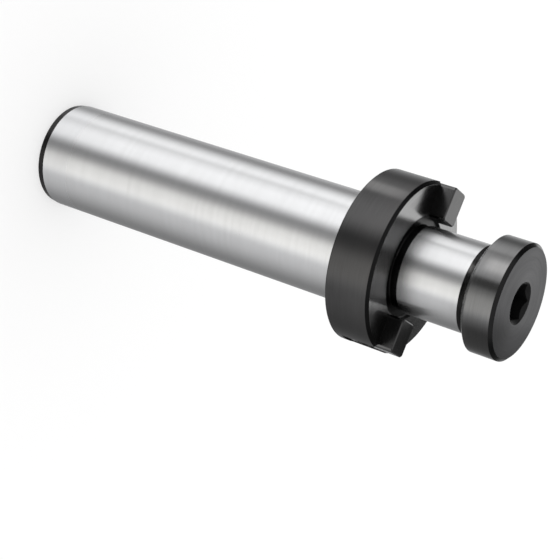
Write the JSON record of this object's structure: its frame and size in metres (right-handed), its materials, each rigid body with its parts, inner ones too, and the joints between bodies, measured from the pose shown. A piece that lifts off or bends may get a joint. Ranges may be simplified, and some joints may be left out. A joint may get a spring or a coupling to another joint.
{
  "type": "face mill arbor",
  "caption": "Straight-shank arbor with a collar, drive keys, a ground pilot and a broad-headed lock screw that carry and clamp a face mill.",
  "frame": {"origin": "centre of the rear end face of the shank, which the arbor stands on", "axes": "+Z along the arbor's axis from the rear end to the lock screw, +X through the middle of one drive key"},
  "size_m": [0.05, 0.05, 0.1573],
  "materials": {
    "arbor_steel": "ground bright on the shank and pilot, black oxide on the collar",
    "key_steel": "black oxide",
    "screw_steel": "black oxide",
    "lock_screw_steel": "black oxide, turned"
  },
  "bodies": {
    "root": {"arbor_body": "arbor_steel", "drive_key_1": "key_steel", "drive_key_2": "key_steel", "key_screw_1": "screw_steel", "key_screw_2": "screw_steel", "lock_screw": "lock_screw_steel"}
  },
  "joints": []
}
